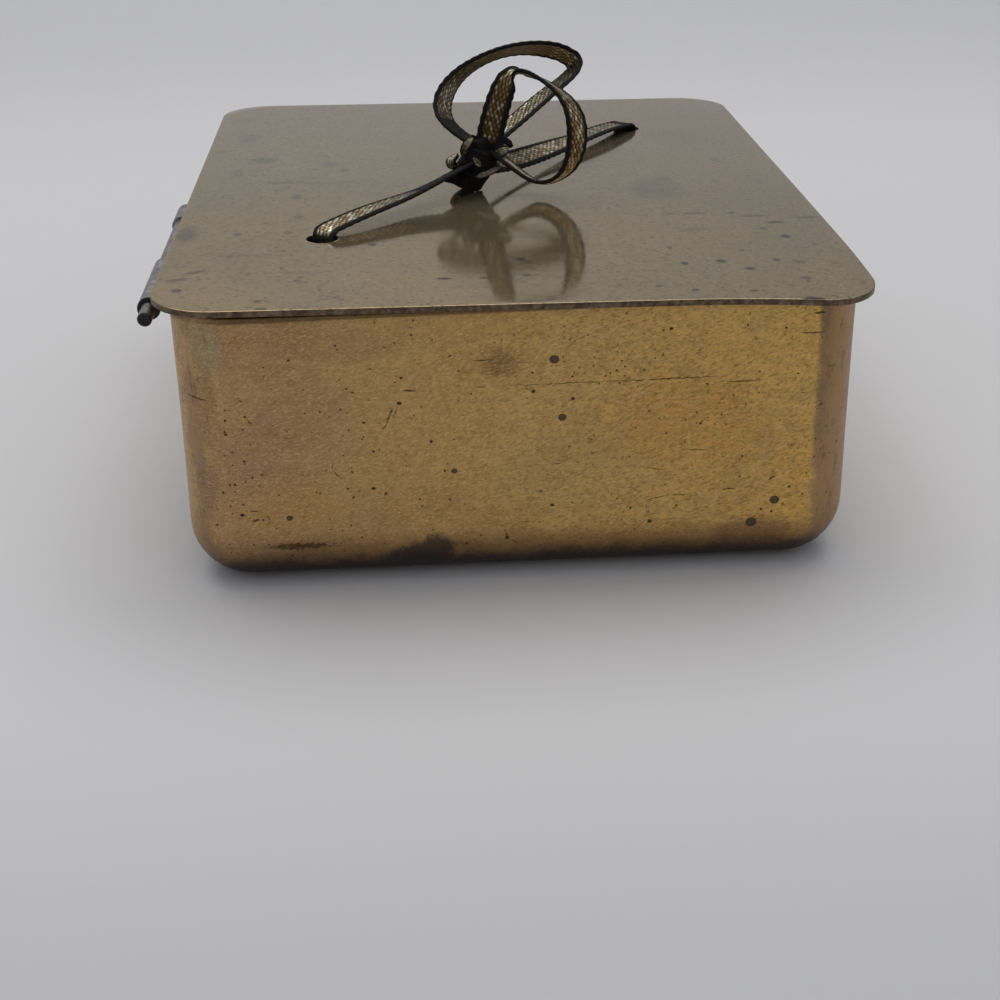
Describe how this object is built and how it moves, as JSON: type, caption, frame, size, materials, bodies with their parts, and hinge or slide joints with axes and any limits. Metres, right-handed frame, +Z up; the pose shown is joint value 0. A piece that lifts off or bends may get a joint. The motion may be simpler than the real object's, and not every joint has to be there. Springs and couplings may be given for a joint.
{
  "type": "trinket box",
  "caption": "Rectangular pressed-brass box with rounded corners, a flat overhanging lid on a side pin hinge, and a laced ribbon bow as its pull.",
  "frame": {"origin": "centre of the flat base, on the surface the box stands on", "axes": "+Z up, -Y towards the front of the box, +X to the right; the hinge runs along Y on the left side"},
  "size_m": [0.1022, 0.13, 0.0628],
  "materials": {
    "pan_brass": "satin brass, rubbed and pitted, with reddish tarnish at the corners",
    "lid_brass": "tarnished grey-brown satin sheet, still slightly mirror-like",
    "hinge_steel": "dark, dull steel",
    "ribbon_braid": "black braid with gold and silver metal threads"
  },
  "bodies": {
    "box": {"box_body": "pan_brass", "front_knuckle": "hinge_steel", "rear_knuckle": "hinge_steel", "hinge_pin": "hinge_steel"},
    "lid": {"lid_plate": "lid_brass", "lid_knuckle": "hinge_steel", "ribbon_left_run": "ribbon_braid", "ribbon_right_run": "ribbon_braid", "ribbon_front_loop": "ribbon_braid", "ribbon_back_loop": "ribbon_braid", "ribbon_bow_knot": "ribbon_braid", "ribbon_left_end_knot": "ribbon_braid", "ribbon_right_end_knot": "ribbon_braid"}
  },
  "joints": [
    {"name": "lid_hinge", "type": "hinge", "parent": "box", "child": "lid", "pos_m": [-0.05056, 0, 0.04061], "axis": [0, -1, 0], "range_deg": [0, 195]}
  ]
}
